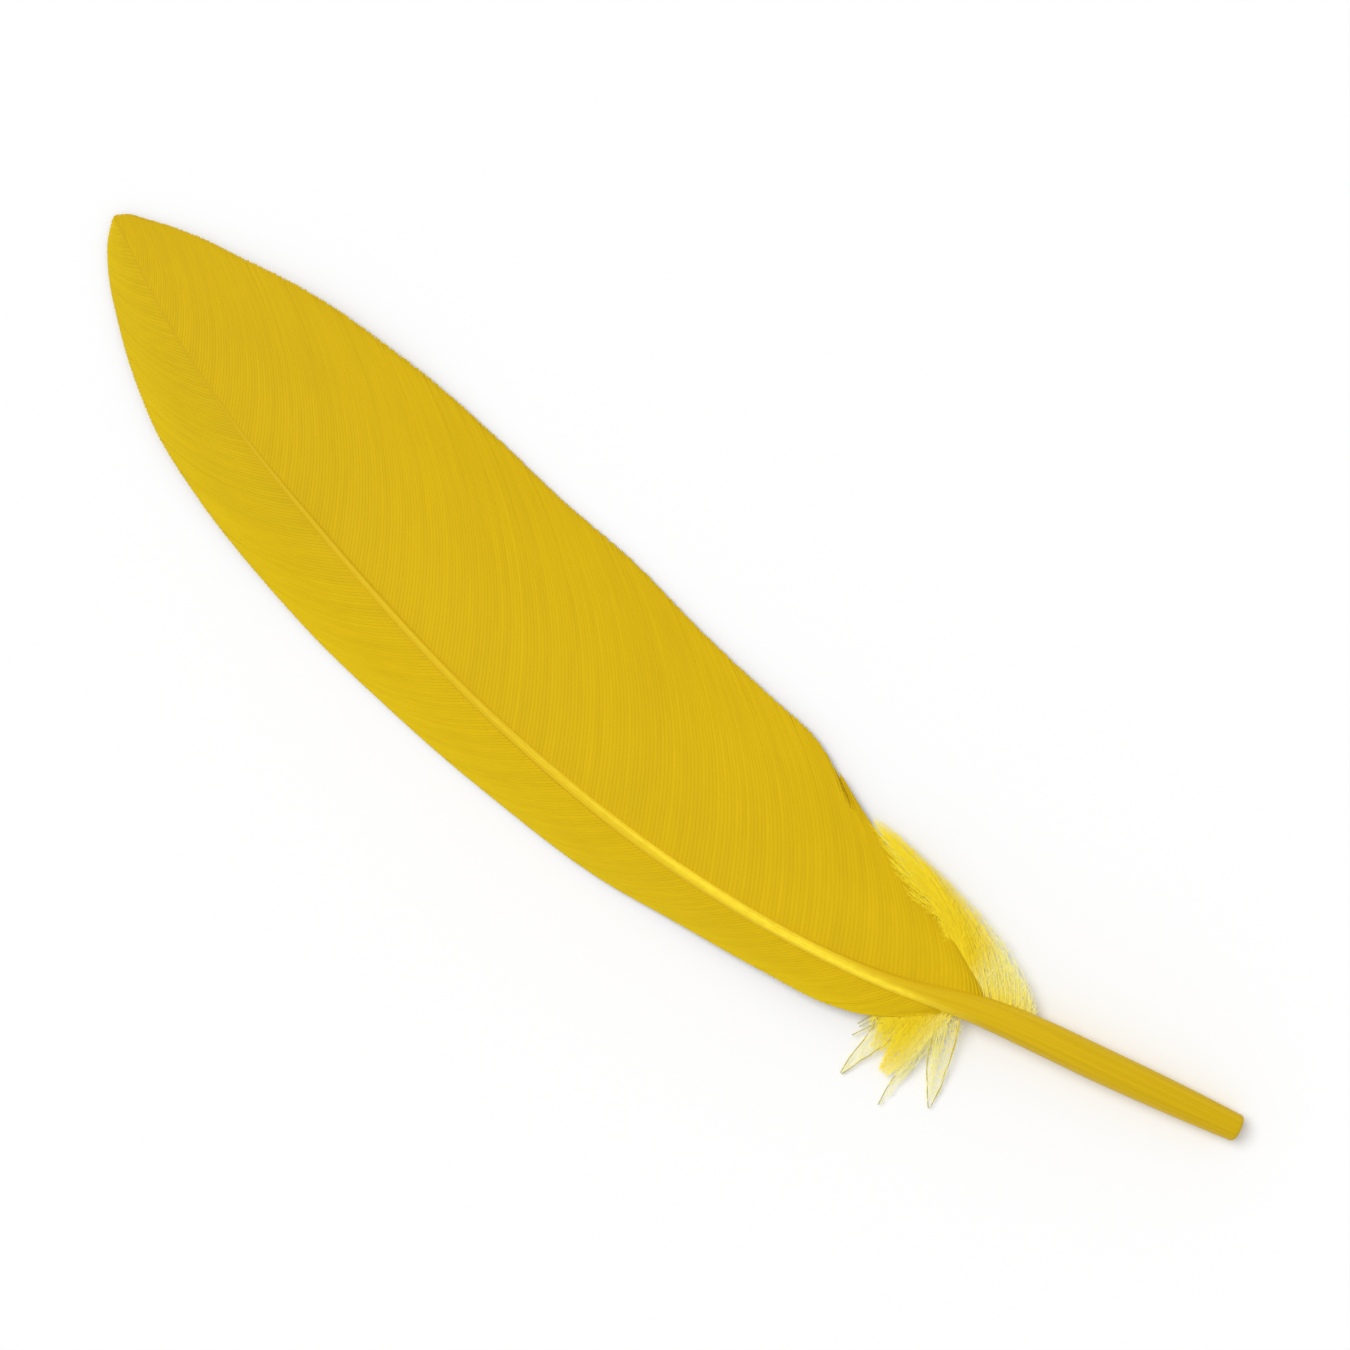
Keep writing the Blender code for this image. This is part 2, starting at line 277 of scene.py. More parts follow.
# How long the shortest hair is, by what share hairs get shorter towards the strand's tip, and thinner
# towards their own.
HAIR_SHORTEST = 0.45
HAIR_SHRINK = 0.72
HAIR_THINNING = 0.6
# The palest locks have hairs this many times as far apart as the richest.
LEADING_PALE_SPACING = 1.25
TRAILING_PALE_SPACING = 2.4
# Strands and hairs are ribbons with a flat side up: how thick they are for their width.
RIBBON_THICKNESS = 0.4
DOWN_SEED = 21

# The scales of the noises in the materials, first across the barbs or round the shaft, then along them, and
# by what share of the brightness they change the colour.
BARB_STREAKS = (420.0, 5.0)
BARB_PATCHES = (9.0, 3.0)
BARB_GRAIN = (900.0, 160.0)
STREAK_CHANGE = 0.13
PATCH_CHANGE = 0.08
BARB_CHANGE = 0.05
QUILL_STREAKS = (9.0, 5.0)
QUILL_MOTTLES = (4.0, 130.0)
QUILL_GRAIN = (26.0, 30.0)
QUILL_CHANGE = 0.45
# The strength of the painted highlight on the crest is multiplied by the first of these, to which the
# mottles add up to the second.
HIGHLIGHT_LEAST = 0.45
HIGHLIGHT_MOTTLES = 1.1
# From which share of a vane's length on its barbs get darker, and how fast.
SHADE_FROM = 0.5
SHADE_RISE = 4.0

# How bright the sky is at the horizon, and how bright from ZENITH_FROM up, which is the sine of a height.
HORIZON = 1.0
ZENITH = 0.56
ZENITH_FROM = 0.6
SUN_STRENGTH = 1.65
SUN_DEGREES = 35
# How far the sun stands to the left and the top of the picture for each step up: 30 degrees from overhead.
SUN_LEFT = 0.45
SUN_ABOVE = 0.35
FLOOR_HALF = 12.0
# The direction on the floor that is the right of the picture.
PICTURE_RIGHT = (-0.7717, -0.6360)
CAMERA_LENS = 100
CAMERA_HEIGHT = 0.335
LOOKS_AT = (0.0001, -0.0062, 0.002)


def along(stations, x):
    """The value at x of a smooth curve through the stations, each a pair of x and value."""
    xs, values = np.array(stations, float).T
    slopes = np.gradient(values, xs)
    x = np.clip(np.asarray(x, float), xs[0], xs[-1])
    i = np.clip(np.searchsorted(xs, x) - 1, 0, len(xs) - 2)
    step = xs[i + 1] - xs[i]
    t = (x - xs[i]) / step
    rise = values[i + 1] - values[i]
    bend = slopes[i] * step - rise
    back = rise - slopes[i + 1] * step
    return values[i] + rise * t + t * (1 - t) * (bend * (1 - t) + back * t)


def smooth_step(low, high, x):
    t = np.clip((x - low) / (high - low), 0, 1)
    return t * t * (3 - 2 * t)


def arch(t):
    """A curve over t from 0 to 1 that is 1 high in the middle."""
    return 4 * t * (1 - t)


def unit(vectors):
    return vectors / np.maximum(np.linalg.norm(vectors, axis=-1, keepdims=True), 1e-12)


def level_across(direction):
    return unit(np.cross(UP, direction))


def shaft_points(x):
    return np.stack([x, along(SHAFT_SIDEWAYS, x), along(SHAFT_HEIGHT, x)], -1)


def tube_faces(count, rings, sides):
    """Side faces and end caps for closed tubes, each with this many rings and sides."""
    corner = np.arange(count * rings * sides).reshape(count, rings, sides)
    near = corner[:, :-1]
    far = corner[:, 1:]
    quads = np.stack([near, np.roll(near, -1, 2), np.roll(far, -1, 2), far], -1).reshape(-1, 4)
    caps = np.concatenate([corner[:, 0, ::-1], corner[:, -1]])
    return [quads, caps]


def volume_inside(points, quads):
    """A number that is negative where the four-sided faces look inwards."""
    inner = points[quads] - points.mean(axis=0)
    volume = 0
    for second in (1, 2):
        volume += (inner[:, 0] * np.cross(inner[:, second], inner[:, second + 1])).sum()
    return volume


def make_piece(name, points, faces, uv, tone, material, slot):
    """A mesh piece from points in millimetres, with a place (uv) and a tone for each point."""
    points[:, 2] = np.maximum(points[:, 2], MIDDLE[2] + CLEARANCE[slot])
    placed = (points - MIDDLE) * MM
    if volume_inside(placed, faces[0]) < 0:
        faces = [group[:, ::-1] for group in faces]
    mesh = bpy.data.meshes.new(name)
    mesh.from_pydata(placed.tolist(), [], [face for group in faces for face in group.tolist()])
    corners = np.empty(len(mesh.loops), np.int32)
    mesh.loops.foreach_get("vertex_index", corners)
    layer = mesh.uv_layers.new(name="place")
    layer.uv.foreach_set("vector", uv[corners].astype(np.float32).ravel())
    shades = mesh.attributes.new("tone", "FLOAT", "POINT")
    shades.data.foreach_set("value", tone.astype(np.float32))
    mesh.shade_smooth()
    mesh.set_sharp_from_angle(angle=math.radians(SHARP_ABOVE[slot]))
    mesh.materials.append(material)
    obj = bpy.data.objects.new(name, mesh)
    bpy.context.scene.collection.objects.link(obj)
    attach(obj, BODY)
    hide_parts(NODE)


def rings_around(paths, radii, sides):
    """Points of closed ribbons along the paths, an array of strand, ring and coordinate."""
    direction = unit(np.gradient(paths, axis=1))
    across = level_across(direction)
    upward = np.cross(direction, across)
    angle = 2 * np.pi * np.arange(sides) / sides - np.pi / 2
    spread = across[:, :, None] * np.cos(angle)[:, None]
    spread = spread + upward[:, :, None] * (RIBBON_THICKNESS * np.sin(angle))[:, None]
    return paths[:, :, None] + spread * radii[:, :, None, None]


def build_shaft(material):
    """The shaft: round and bare as the quill, then narrower, deeper and squarer between the vanes."""
    even = np.linspace(0, 1, SHAFT_RINGS - len(CUT_RINGS))
    x = np.concatenate([CUT_RINGS, EVEN_FROM + (SHAFT_END - EVEN_FROM) * even])
    centre = shaft_points(x)
    step = 0.5
    ahead = shaft_points(np.minimum(x + step, LENGTH))
    behind = shaft_points(np.maximum(x - step, 0))
    direction = unit(ahead - behind)
    across = level_across(direction)
    upward = np.cross(direction, across)
    width = along(SHAFT_WIDTH, x) / 2
    depth = along(SHAFT_DEPTH, x) / 2
    trim = CUT_ROUNDING * (1 - np.sqrt(np.clip(1 - (1 - x / CUT_ROUNDING) ** 2, 0, 1)))
    trim = np.where(x < CUT_ROUNDING, trim, 0)
    width = width - trim
    depth = depth - trim
    width[:len(DIMPLE_RADII)] = DIMPLE_RADII
    depth[:len(DIMPLE_RADII)] = DIMPLE_RADII
    angle = 2 * np.pi * (np.arange(SHAFT_SIDES) + 0.5) / SHAFT_SIDES
    c = np.cos(angle)
    s = np.sin(angle)
    square = smooth_step(SQUARE_FROM, SQUARE_BY, x)[:, None]
    power = 2 / (2 + SQUARENESS * square)
    a = np.sign(c) * np.abs(c) ** power * width[:, None]
    b = np.sign(s) * np.abs(s) ** power * depth[:, None]
    under = np.exp(-((angle - 1.5 * np.pi) / GROOVE_SPREAD) ** 2)
    b = b * (1 - GROOVE * under * square)
    ridges = 1 + sum(height * np.sin(number * angle + turn) for number, turn, height in RIDGES)
    points = centre[:, None] + across[:, None] * (a * ridges)[..., None]
    points = points + upward[:, None] * (b * ridges)[..., None]
    uv = np.stack(np.broadcast_arrays(0.5 + 0.5 * c, (x / LENGTH)[:, None]), -1)
    # The tone is a painted highlight along the crest, on the upper side of the shaft only.
    off_highlight = (a - along(HIGHLIGHT_ASIDE, x)[:, None]) / along(HIGHLIGHT_WIDTH, x)[:, None]
    tone = np.clip(along(CREST_HIGHLIGHT, x), 0, 1)[:, None] * np.exp(-off_highlight**2)
    tone = tone * smooth_step(*HIGHLIGHT_FADES, s)
    faces = tube_faces(1, len(x), SHAFT_SIDES)
    make_piece("shaft", points.reshape(-1, 3), faces, uv.reshape(-1, 2), tone.ravel(), material, "quill")


def vane_roots(x):
    roots = shaft_points(x)
    roots[..., 2] += along(VANE_LEVEL, x) * along(VANE_DEPTH, x) / 2
    return roots


def vane_height(vane, x, y):
    """The top of the vane at x and y: nearly level at the shaft, curling down to the edge."""
    roots = vane_roots(x)
    share = np.clip(np.abs(y - roots[..., 1]) / along(vane["width"], x), 0, 1)
    return roots[..., 2] + (along(vane["edge"], x) - roots[..., 2]) * share ** vane["curl"]


def barb_paths(vane, roots_x, tips_as, lengths, shares):
    """Paths seen from above, of barb, ring and coordinate. A tip lies where the barb of tips_as has it."""
    roots = shaft_points(roots_x)[:, :2]
    tips_x = tips_as + along(vane["reach"], tips_as)
    tips_y = along(SHAFT_SIDEWAYS, tips_x) + vane["side"] * along(vane["width"], tips_x)
    chord = np.stack([tips_x, tips_y], -1) - roots
    outward = np.stack([-chord[:, 1], chord[:, 0]], -1) * vane["side"]
    t = (lengths[:, None] * shares)[..., None]
    return roots[:, None] + chord[:, None] * t + outward[:, None] * BARB_BOW * arch(t)


def lock_shifts(roots_x, rng):
    """How far each barb's tip is pulled towards the middle of its lock, and its place in the lock."""
    pulled = np.zeros(BARBS)
    place = np.zeros(BARBS)
    start = 0
    while start < BARBS:
        end = min(start + int(rng.integers(*LOCK_BARBS)), BARBS)
        lock = roots_x[start:end]
        away = lock - lock.mean()
        pulled[start:end] = -away * rng.uniform(*LOCK_PULL)
        place[start:end] = away / max(np.ptp(lock) / 2, LOCK_LEAST)
        start = end
    return pulled, place


def split_shape(vane, roots_x):
    """How many millimetres each barb is shorter, and how far it is sunk, at the splits in the vane's edge."""
    tips_x = roots_x + along(vane["reach"], roots_x)
    trims = np.zeros(BARBS)
    sunk = np.zeros(BARBS)
    for split in vane["splits"]:
        steps = np.arange(BARBS) - np.interp(split, tips_x, np.arange(BARBS))
        inside = np.exp(-(steps / SPLIT_FADES) ** 2)
        beside = np.exp(-((steps + SPLIT_LIFTED) / SPLIT_FADES) ** 2)
        trims += SPLIT_DEPTH * inside
        sunk += SPLIT_SINK * inside - SPLIT_LIFT * beside
    return trims, sunk


def build_vane(vane, material):
    """All the barbs of a vane as one piece. The arrays are of barb, ring and corner of the section."""
    rng = np.random.default_rng(vane["seed"])
    roots_x = np.linspace(vane["start"], VANE_END, BARBS)
    shares = np.linspace(0, 1, BARB_RINGS) ** RING_POWER
    pulled, place = lock_shifts(roots_x, rng)
    wander = rng.normal(0, TIP_WANDER, BARBS) * smooth_step(VANE_END, VANE_END - WANDER_FADES, roots_x)
    tips_as = np.clip(roots_x + pulled + wander, vane["start"], VANE_END)
    even = barb_paths(vane, roots_x, roots_x, np.ones(BARBS), shares)
    chords = np.linalg.norm(even[:, -1] - even[:, 0], axis=1)
    trims, sunk = split_shape(vane, roots_x)
    lengths = 1 - rng.uniform(0, SHORTEST, BARBS) - trims / chords
    paths = barb_paths(vane, roots_x, tips_as, lengths, shares)
    paths = even + (paths - even) * (shares**STRAY_POWER)[:, None]
    direction = unit(np.gradient(paths, axis=1))
    ahead = np.stack([direction[..., 1], -direction[..., 0]], -1) * vane["side"]
    pitch = np.abs((np.gradient(even, axis=0) * ahead).sum(-1))
    taper = 1 - BARB_TAPER * smooth_step(TAPER_FROM, 1.0, shares)
    first = FIRST_WIDTH + (1 - FIRST_WIDTH) * smooth_step(0, FIRST_BARBS, np.arange(BARBS))
    reach = BARB_SECTION[:, 0] * (pitch * taper * first[:, None])[..., None]
    flat = paths[:, :, None] + ahead[:, :, None] * reach[..., None]
    height = vane_height(vane, flat[..., 0], flat[..., 1])
    thin = (1 - BARB_THINNING * shares)[None, :, None]
    height = height + BARB_SECTION[:, 1] * thin
    height = height + (LOCK_TILT * place[:, None] * shares)[..., None]
    height = height - (sunk[:, None] * smooth_step(*SPLIT_BEGINS, shares))[..., None]
    points = np.concatenate([flat, height[..., None]], -1)
    root = (roots_x - vane["start"]) / (VANE_END - vane["start"])
    tone = rng.random(BARBS)
    spread = np.broadcast_arrays(root[:, None, None], shares[:, None], tone[:, None, None], height)
    root, grow, tone = spread[:3]
    uv = np.stack([root, grow], -1)
    faces = tube_faces(BARBS, BARB_RINGS, len(BARB_SECTION))
    make_piece(vane["name"], points.reshape(-1, 3), faces, uv.reshape(-1, 2), tone.ravel(), material, "vane")


def strand_paths(lock, bend, side, rng):
    """The paths and tones of a lock's strands, and how rich its yellow is.

    The strands leave the shaft side by side, swell apart and meet at the tip.
    """
    (first, last), tip, breadth, ends, count, rich, *outline_shade = lock
    spread = np.linspace(-1, 1, count)
    spread[1:-1] += rng.normal(0, SPREAD_JITTER, count - 2)
    roots = shaft_points(first + (last - first) * (spread + 1) / 2)
    roots[:, 1] += side * ROOT_ASIDE * along(SHAFT_WIDTH, roots[:, 0])
    roots[1:-1, 2] += rng.uniform(*ROOT_HEIGHTS, count - 2)
    tip = np.array(tip)
    centre = roots.mean(axis=0)
    across = level_across(tip - centre)
    if (across * (roots[-1] - roots[0])).sum() < 0:
        across = -across
    short = rng.uniform(0, 1, count) ** 2 * STRAND_SHORTEST
    short[[0, -1]] = 0
    tips = tip + (centre - tip) * short[:, None]
    tips = tips + across * (spread * (ends + short * breadth))[:, None]
    wide = across * (spread * breadth * LOCK_SWELL)[:, None]
    (x1, y1), (x2, y2), lifted = bend
    z1, z2 = CONTROL_RISE
    first_control = centre + (tip - centre) * np.array((x1, y1, z1)) + wide
    second_control = centre + (tips - centre) * np.array((x2, y2, z2))
    second_control = second_control + wide * (1 - END_SWELL + END_SWELL * ends)
    lift = rng.uniform(-STRAND_LIFT, STRAND_LIFT, count)
    first_control[:, 2] += lift
    second_control[:, 2] += lift + lifted
    t = np.linspace(0, 1, STRAND_RINGS)[None, :, None]
    u = 1 - t
    paths = roots[:, None] * u**3 + first_control[:, None] * 3 * u * u * t
    paths = paths + second_control[:, None] * 3 * u * t * t + tips[:, None] * t**3
    radians = t[..., 0] * rng.uniform(*WAVE_RADIANS, (count, 1)) + rng.uniform(*WAVE_STARTS, (count, 1))
    astray = np.sin(radians) * STRAND_WAVES + rng.normal(0, STRAND_KINKS, radians.shape)
    paths = paths + across * astray[..., None] * arch(t)
    tones = richness(paths[..., 0], rich)
    # The outline strands get the full tone, which gives them painted shade.
    tones[outline_shade] = 1
    return paths, tones, rich


def richness(x, rich):
    """The tone of the yellow at x, in a lock that is this rich."""
    return rich * RICH_TONE * smooth_step(PALE_UNTIL, RICH_FROM, x)


def side_hairs(paths, spacing, rng):
    """Short hairs on both sides of every strand, leaning to its tip."""
    count, rings, _ = paths.shape
    lengths = np.linalg.norm(np.diff(paths, axis=1), axis=-1).sum(1)
    made = []
    for strand in range(count):
        number = max(int(lengths[strand] / spacing), HAIR_FEWEST)
        t = np.sort(rng.uniform(*HAIR_PLACES, number))
        at = t * (rings - 1)
        i = np.minimum(at.astype(int), rings - 2)
        f = (at - i)[:, None]
        points = paths[strand, i] * (1 - f) + paths[strand, i + 1] * f
        direction = unit(paths[strand, i + 1] - paths[strand, i])
        flip = rng.choice((-1.0, 1.0), number)[:, None]
        lean = rng.uniform(*HAIR_LEANS, number)[:, None]
        rise = rng.normal(0, HAIR_RISE, number)[:, None] * UP
        heading = unit(direction * lean + level_across(direction) * flip + rise)
        reach = HAIR_LENGTH * rng.uniform(HAIR_SHORTEST, 1.0, number) * (1 - HAIR_SHRINK * t)
        s = np.linspace(0, 1, HAIR_RINGS)[None, :, None]
        bend = direction[:, None] * (HAIR_BEND * reach)[:, None, None] * s**2
        made.append(points[:, None] + heading[:, None] * reach[:, None, None] * s + bend)
    return np.concatenate(made)


def beside_vane(paths, vane):
    """The paths, moved under or on to the vane where they cross it."""
    x, y, z = np.moveaxis(paths, -1, 0)
    aside = np.abs(y - along(SHAFT_SIDEWAYS, x)) / along(vane["width"], x)
    crosses = smooth_step(*CROSSES, aside)
    rests = smooth_step(*vane["down_rests"], x) if vane["down_rests"] else np.zeros_like(x)
    top = vane_height(vane, x, y)
    lift = np.maximum(top + REST_HEIGHT - z, 0) * rests
    sink = np.maximum(z - top + HANG_DEPTH, 0) * (1 - rests)
    return np.stack([x, y, z + crosses * (lift - sink)], -1)


def build_down(name, groups, vane, pale_spacing, material):
    """One piece from groups of locks, each group with its own bend."""
    rng = np.random.default_rng(DOWN_SEED + vane["side"])
    strands = []
    strand_tones = []
    hairs = []
    hair_tones = []
    for locks, bend in groups:
        for lock in locks:
            paths, tones, rich = strand_paths(lock, bend, vane["side"], rng)
            strands.append(paths)
            strand_tones.append(tones)
            hairs.append(side_hairs(paths, HAIR_SPACING * (rich + pale_spacing * (1 - rich)), rng))
            hair_tones.append(richness(hairs[-1][..., 0], rich))
    paths = beside_vane(np.concatenate(strands), vane)
    strand_tones = np.concatenate(strand_tones)
    hairs = beside_vane(np.concatenate(hairs), vane)
    hair_tones = np.concatenate(hair_tones)
    t = np.linspace(0, 1, STRAND_RINGS)
    swell = STRAND_SWELL + OUTLINE_SWELL * smooth_step(OUTLINE_SHADE_FROM, 1, strand_tones)
    swell = swell * rng.uniform(1 - STRAND_KNOTS, 1 + STRAND_KNOTS, strand_tones.shape)
    radii = STRAND_RADIUS * (1 - (1 - STRAND_TIP) * t) * swell
    thick = rings_around(paths, radii, STRAND_SIDES)
    s = np.linspace(0, 1, HAIR_RINGS)
    hair_radii = np.broadcast_to(HAIR_RADIUS * (1 - HAIR_THINNING * s), hairs.shape[:2])
    thin = rings_around(hairs, hair_radii, HAIR_SIDES)
    first = thick.reshape(-1, 3)
    second = thin.reshape(-1, 3)
    points = np.concatenate([first, second])
    faces = tube_faces(*thick.shape[:3])
    faces += [group + len(first) for group in tube_faces(*thin.shape[:3])]
    grow = np.concatenate([
        np.broadcast_to(t[None, :, None], thick.shape[:3]).ravel(),
        np.broadcast_to(s[None, :, None], thin.shape[:3]).ravel(),
    ])
    kind = np.concatenate([np.zeros(len(first)), np.ones(len(second))])
    tone = np.concatenate([
        np.broadcast_to(strand_tones[..., None], thick.shape[:3]).ravel(),
        np.broadcast_to(hair_tones[..., None], thin.shape[:3]).ravel(),
    ])
    make_piece(name, points, faces, np.stack([grow, kind], -1), tone, material, "down")


class Nodes:
    """Short calls for adding and linking the nodes of one material."""

    def __init__(self, name):
        self.material = bpy.data.materials.new(name)
        self.material.use_nodes = True
        self.tree = self.material.node_tree
        self.shader = self.tree.nodes["Principled BSDF"]

    def add(self, kind, **values):
        node = self.tree.nodes.new(kind)
        for key, value in values.items():
            setattr(node, key, value)
        return node

    def link(self, out, into):
        self.tree.links.new(out, into)

    def value(self, name, number):
        self.shader.inputs[name].default_value = number

    def math(self, operation, first, second, clamp=False):
        node = self.add("ShaderNodeMath", operation=operation, use_clamp=clamp)
        for socket, value in zip(node.inputs, (first, second)):
            if isinstance(value, (int, float)):
                socket.default_value = value
            else:
                self.link(value, socket)
        return node.outputs[0]

    def place(self):
        uv = self.add("ShaderNodeUVMap", uv_map="place")
        split = self.add("ShaderNodeSeparateXYZ")
        self.link(uv.outputs["UV"], split.inputs[0])
        return split.outputs[0], split.outputs[1]

    def tone(self):
        return self.add("ShaderNodeAttribute", attribute_name="tone").outputs["Fac"]

    def vector(self, x, y):
        node = self.add("ShaderNodeCombineXYZ")
        self.link(x, node.inputs[0])
        self.link(y, node.inputs[1])
        return node.outputs[0]

    def noise(self, x, y, scales, detail):
        vector = self.vector(self.math("MULTIPLY", x, scales[0]), self.math("MULTIPLY", y, scales[1]))
        node = self.add("ShaderNodeTexNoise")
        node.inputs["Scale"].default_value = 1.0
        node.inputs["Detail"].default_value = detail
        self.link(vector, node.inputs["Vector"])
        return node.outputs["Fac"]

    def swing(self, value, amount):
        """The amount times how far the value is from a half."""
        return self.math("MULTIPLY", self.math("SUBTRACT", value, 0.5), amount)

    def rough(self, value, amount, least):
        """Sets the roughness to the least, plus the amount times the value."""
        rough = self.math("ADD", self.math("MULTIPLY", value, amount), least)
        self.link(rough, self.shader.inputs["Roughness"])

    def colour(self, colour):
        self.link(colour, self.shader.inputs["Base Color"])

    def ramp(self, factor, stops):
        node = self.add("ShaderNodeValToRGB")
        ramp = node.color_ramp
        while len(ramp.elements) < len(stops):
            ramp.elements.new(0.5)
        for element, (position, colour) in zip(ramp.elements, stops):
            element.position = position
            element.color = (*linear(colour), 1)
        self.link(factor, node.inputs[0])
        return node.outputs[0]

    def mix(self, factor, first, second):
        node = self.add("ShaderNodeMix", data_type="RGBA")
        for socket, value in ((node.inputs[0], factor), (node.inputs[6], first), (node.inputs[7], second)):
            self.link(value, socket)
        return node.outputs[2]

    def brighter(self, colour, share):
        """The colour, brighter by a share that is the output of a node."""
        node = self.add("ShaderNodeVectorMath", operation="SCALE")
        self.link(colour, node.inputs[0])
        self.link(self.math("ADD", share, 1.0), node.inputs[3])
        return node.outputs[0]

    def bump(self, height, distance):
        node = self.add("ShaderNodeBump")
        node.inputs["Strength"].default_value = 0.5
        node.inputs["Distance"].default_value = distance * MM
        self.link(height, node.inputs["Height"])
        self.link(node.outputs[0], self.shader.inputs["Normal"])


def linear(colour):
    """Linear red, green and blue from the 0 to 255 numbers of a screen colour."""
    values = np.array(colour) / 255
    return tuple(np.where(values <= 0.04045, values / 12.92, ((values + 0.055) / 1.055) ** 2.4).tolist())


def vane_material(name, stops, tip_shade):
    """Barbs dyed one gold, each a little lighter or darker, with fine streaks along them. The stops run from
    the shaft to the vane's edge, and where they get lighter towards the edge that is painted light.

    The barbs near the feather's tip are darker by the share tip_shade.
    """
    nodes = Nodes(name)
    root, grow = nodes.place()
    streaks = nodes.noise(root, grow, BARB_STREAKS, detail=2.0)
    patches = nodes.noise(root, grow, BARB_PATCHES, detail=3.0)
    change = nodes.math("ADD", nodes.swing(streaks, STREAK_CHANGE), nodes.swing(patches, PATCH_CHANGE))
    change = nodes.math("ADD", change, nodes.swing(nodes.tone(), BARB_CHANGE))
    near_tip = nodes.math("MULTIPLY", nodes.math("SUBTRACT", root, SHADE_FROM), SHADE_RISE, clamp=True)
    change = nodes.math("SUBTRACT", change, nodes.math("MULTIPLY", near_tip, tip_shade))
    nodes.colour(nodes.brighter(nodes.ramp(grow, stops), change))
    nodes.rough(streaks, amount=0.2, least=0.45)
    nodes.bump(nodes.noise(root, grow, BARB_GRAIN, detail=1.0), distance=0.012)
    nodes.value("Specular IOR Level", 0.08)
    return nodes.material


def shaft_material():
    """Gold with lighter and darker streaks along it, and a painted highlight along the crest between the
    vanes.
    """
    nodes = Nodes("quill_keratin")
    around, length = nodes.place()
    plain = nodes.ramp(length, (
        (0.0, (205, 169, 17)), (0.15, (208, 172, 19)), (0.25, (215, 178, 21)), (0.72, (213, 176, 20)),
        (0.86, (205, 169, 16)), (1.0, (204, 168, 16)),
    ))
    # The painted highlight: a lighter yellow, mixed in by the tone along the crest.
    highlight_colour = nodes.ramp(length, ((0.2, (255, 226, 54)), (0.45, (255, 224, 54)), (1.0, (250, 214, 44))))
    mottles = nodes.noise(around, length, QUILL_MOTTLES, detail=3.0)
    strength = nodes.math("ADD", nodes.math("MULTIPLY", mottles, HIGHLIGHT_MOTTLES), HIGHLIGHT_LEAST)
    highlight = nodes.math("MULTIPLY", nodes.tone(), strength)
    colour = nodes.mix(nodes.math("MINIMUM", highlight, 1.0), plain, highlight_colour)
    streaks = nodes.noise(around, length, QUILL_STREAKS, detail=3.0)
    nodes.colour(nodes.brighter(colour, nodes.swing(streaks, QUILL_CHANGE)))
    nodes.rough(streaks, amount=0.2, least=0.3)
    nodes.bump(nodes.noise(around, length, QUILL_GRAIN, detail=2.0), distance=0.03)
    nodes.value("Specular IOR Level", 0.08)
    return nodes.material


def down_material():
    """Pale or rich yellow hairs, with some of the outer strands a darker grey-yellow that is painted shade.
    """
    nodes = Nodes("down_hairs")
    grow, kind = nodes.place()
    pale = nodes.ramp(grow, ((0.0, (252, 232, 70)), (0.55, (255, 248, 150)), (1.0, (255, 253, 205))))
    rich = nodes.ramp(grow, ((0.0, (244, 212, 26)), (0.55, (255, 230, 34)), (1.0, (255, 238, 58))))
    # Painted shade for the outline strands of the tufts.
    outline_shade = nodes.ramp(grow, ((0.0, (228, 202, 50)), (0.5, (206, 190, 84)), (1.0, (188, 182, 122))))
    tone = nodes.tone()
    inner = nodes.mix(nodes.math("MULTIPLY", tone, 1 / RICH_TONE, clamp=True), pale, rich)
    outer = nodes.math("MULTIPLY", nodes.math("SUBTRACT", tone, OUTLINE_SHADE_FROM), 1 / (1 - OUTLINE_SHADE_FROM), clamp=True)
    nodes.colour(nodes.mix(outer, inner, outline_shade))
    nodes.rough(kind, amount=0.1, least=0.55)
    nodes.value("Specular IOR Level", 0.15)
    nodes.value("Sheen Weight", 0.1)
    return nodes.material


def floor_material():
    nodes = Nodes("pale_floor")
    nodes.value("Base Color", (0.94, 0.94, 0.94, 1))
    nodes.value("Roughness", 0.9)
    nodes.value("Specular IOR Level", 0.05)
    return nodes.material


def build_stage():
    mesh = bpy.data.meshes.new("floor")
    corners = [(x * FLOOR_HALF, y * FLOOR_HALF, 0) for x, y in ((-1, -1), (1, -1), (1, 1), (-1, 1))]
    mesh.from_pydata(corners, [], [(0, 1, 2, 3)])
    mesh.materials.append(floor_material())
    floor = bpy.data.objects.new("floor", mesh)
    bpy.context.scene.collection.objects.link(floor)


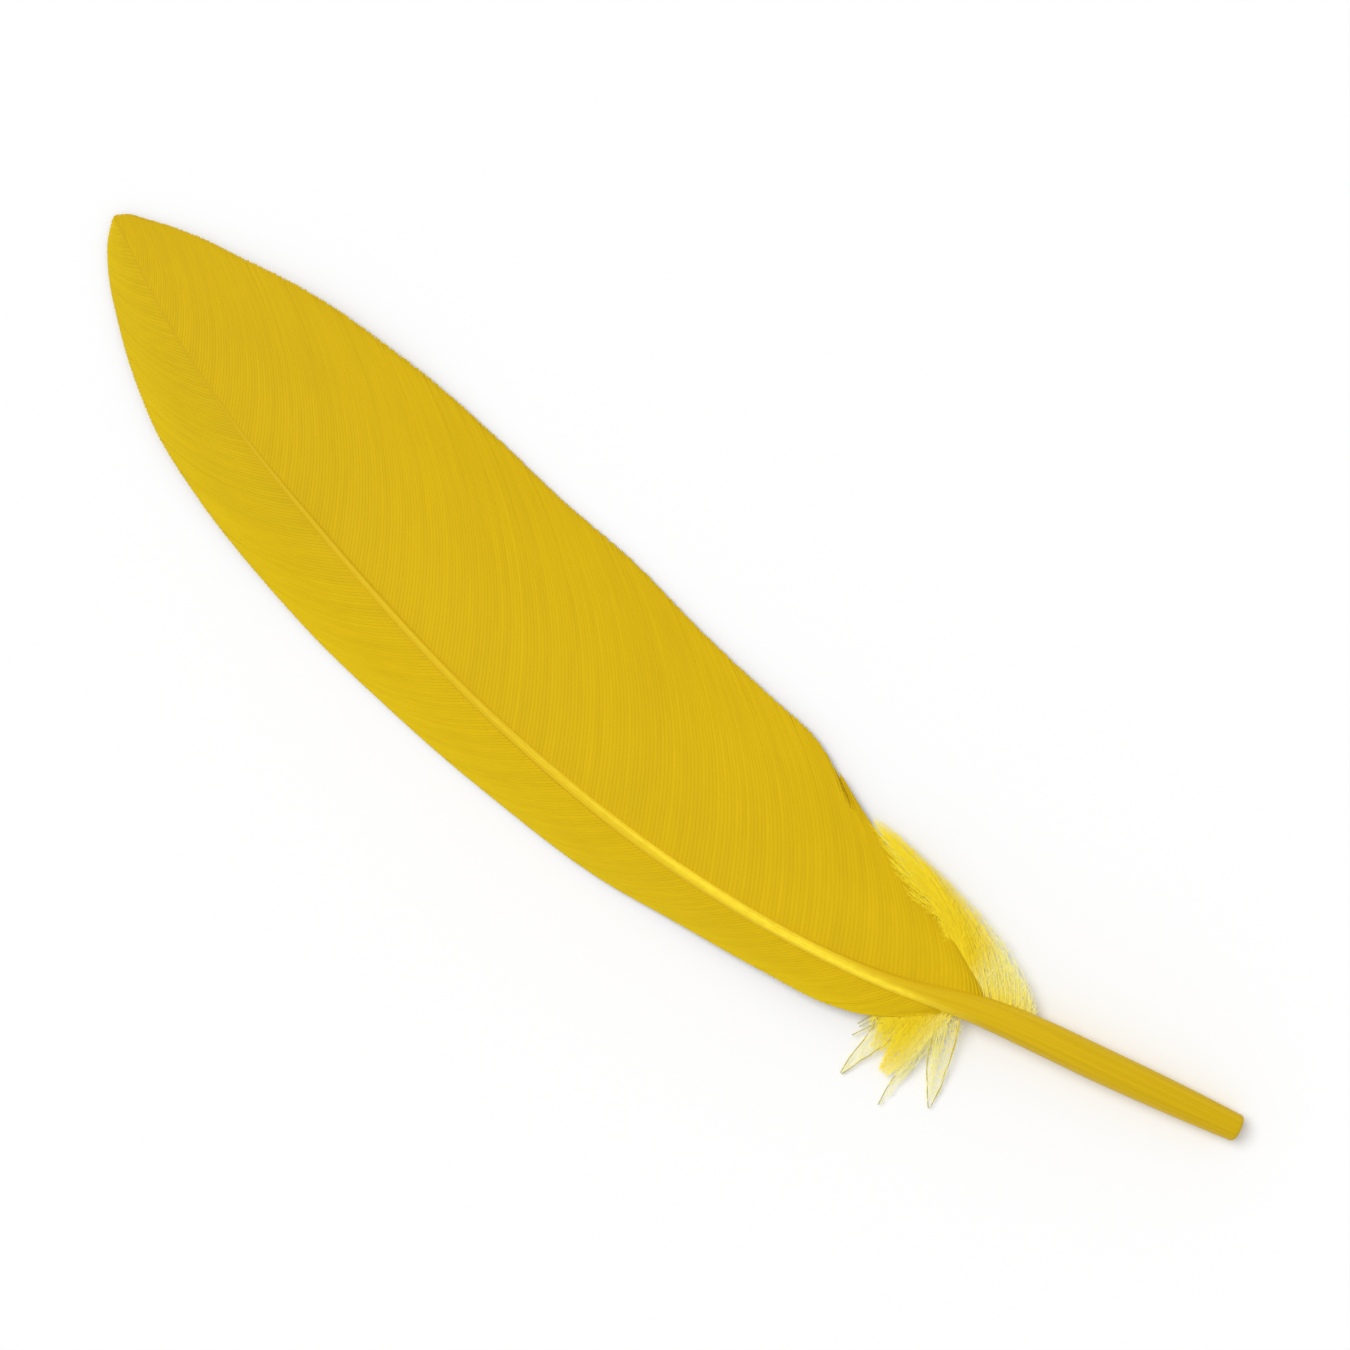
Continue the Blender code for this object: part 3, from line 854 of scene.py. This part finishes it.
def build_light():
    """A soft white sky, brightest at the horizon, and a wide sun from the upper left of the picture."""
    world = bpy.data.worlds.new("soft_studio")
    world.use_nodes = True
    tree = world.node_tree
    background = tree.nodes["Background"]
    background.inputs[0].default_value = (1.0, 1.0, 1.0, 1)
    direction = tree.nodes.new("ShaderNodeTexCoord")
    split = tree.nodes.new("ShaderNodeSeparateXYZ")
    strength = tree.nodes.new("ShaderNodeMapRange")
    strength.interpolation_type = "SMOOTHSTEP"
    tree.links.new(direction.outputs["Generated"], split.inputs[0])
    tree.links.new(split.outputs[2], strength.inputs["Value"])
    tree.links.new(strength.outputs[0], background.inputs[1])
    strength.inputs["From Max"].default_value = ZENITH_FROM
    strength.inputs["To Min"].default_value = HORIZON
    strength.inputs["To Max"].default_value = ZENITH
    bpy.context.scene.world = world
    sun = bpy.data.lights.new("key", "SUN")
    sun.energy = SUN_STRENGTH
    sun.angle = math.radians(SUN_DEGREES)
    key = bpy.data.objects.new("key", sun)
    right = Vector((*PICTURE_RIGHT, 0))
    above = Vector((-PICTURE_RIGHT[1], PICTURE_RIGHT[0], 0))
    towards = (-right * SUN_LEFT + above * SUN_ABOVE + Vector(UP)).normalized()
    key.rotation_euler = towards.to_track_quat("Z", "Y").to_euler()
    bpy.context.scene.collection.objects.link(key)


def build_camera():
    """Straight down, turned so that the feather lies as in the photo, with the tip at the upper left."""
    lens = bpy.data.cameras.new("camera")
    lens.lens = CAMERA_LENS
    lens.clip_start = 0.01
    camera = bpy.data.objects.new("camera", lens)
    turn = math.atan2(PICTURE_RIGHT[1], PICTURE_RIGHT[0])
    stands = Vector(LOOKS_AT) + CAMERA_HEIGHT * Vector(UP)
    camera.matrix_world = Matrix.Translation(stands) @ Matrix.Rotation(turn, 4, "Z")
    bpy.context.scene.collection.objects.link(camera)
    bpy.context.scene.camera = camera


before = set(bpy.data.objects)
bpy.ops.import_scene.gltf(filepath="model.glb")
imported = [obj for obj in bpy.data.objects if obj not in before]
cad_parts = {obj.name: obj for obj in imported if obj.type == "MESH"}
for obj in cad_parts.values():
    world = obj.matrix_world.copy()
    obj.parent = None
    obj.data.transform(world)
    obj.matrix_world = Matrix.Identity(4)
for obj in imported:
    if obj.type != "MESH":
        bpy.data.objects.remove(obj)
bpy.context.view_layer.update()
bpy.context.scene.view_settings.view_transform = "Standard"

build_shaft(shaft_material())
# The leading barbs get lighter towards the vane's outer edge: painted light.
build_vane(LEADING, vane_material("leading_barbs", (
    (0.0, (213, 178, 12)),
    (0.5, (216, 182, 14)),
    (1.0, (221, 189, 18)),
), tip_shade=0.075))
build_vane(TRAILING, vane_material("trailing_barbs", (
    (0.0, (213, 177, 12)),
    (0.5, (213, 177, 12)),
    (1.0, (212, 176, 12)),
), tip_shade=0.04))
down = down_material()
leading_groups = ((LEADING_PALE, PALE_BEND), (LEADING_RICH, RICH_BEND))
build_down("leading_down", leading_groups, LEADING, LEADING_PALE_SPACING, down)
trailing_groups = ((TRAILING_LOCKS, TRAILING_BEND), (EDGE_LOCKS, EDGE_BEND))
build_down("trailing_down", trailing_groups, TRAILING, TRAILING_PALE_SPACING, down)
build_stage()
build_light()
build_camera()
